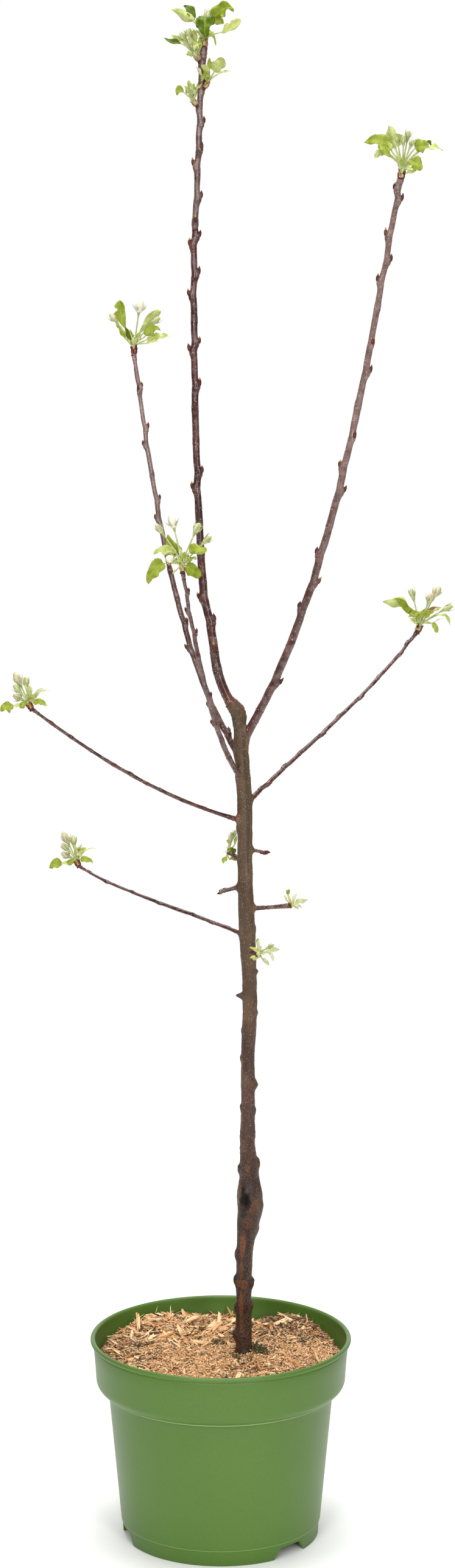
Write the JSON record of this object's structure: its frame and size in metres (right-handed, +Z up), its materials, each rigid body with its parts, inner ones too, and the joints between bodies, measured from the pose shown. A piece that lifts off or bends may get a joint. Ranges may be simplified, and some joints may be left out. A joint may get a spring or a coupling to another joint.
{
  "type": "dwarf apple tree in a pot",
  "caption": "Young dwarf apple tree in a round plastic nursery pot: a slim grafted trunk whose upright and spreading boughs end in clusters of young leaves and blossom buds.",
  "frame": {"origin": "middle of the whole plant's own box, on the level of the pot's underside; the pot's axis stands 9 mm to the left of it and 16 mm in front of it", "axes": "+X to the right and +Y to the back as one stands in front of the tree, +Z up along the trunk"},
  "size_m": [0.3714, 0.251, 1.2755],
  "materials": {
    "pot_plastic": "smooth moulded green plastic with a soft sheen",
    "mulch": "wood chips, shavings and dark humus",
    "bark": "olive-brown young bark with pale pores",
    "shoots": "purplish red-brown shoot bark with a grey sheen",
    "leaves": "young yellow-green leaves with pale downy undersides, and cream blossom buds"
  },
  "bodies": {
    "root": {"pot": "pot_plastic", "soil": "mulch", "trunk": "bark", "leader": "shoots", "bough_right_upright": "shoots", "bough_left_upright": "shoots", "bough_front_left": "shoots", "bough_right_spread": "shoots", "bough_left_spread": "shoots", "bough_lower_left": "shoots", "spur_right": "shoots", "spur_back_left": "shoots", "spur_front_right": "shoots", "stub_left": "shoots", "stub_right": "shoots", "cluster_leader_top": "leaves", "cluster_leader_left": "leaves", "cluster_leader_right": "leaves", "cluster_leader_left_lower": "leaves", "cluster_right_upright": "leaves", "cluster_left_upright": "leaves", "cluster_front_left": "leaves", "cluster_right_spread": "leaves", "cluster_left_spread": "leaves", "cluster_lower_left": "leaves", "cluster_spur_right": "leaves", "cluster_spur_back_left": "leaves", "cluster_spur_front_right": "leaves"}
  },
  "joints": []
}
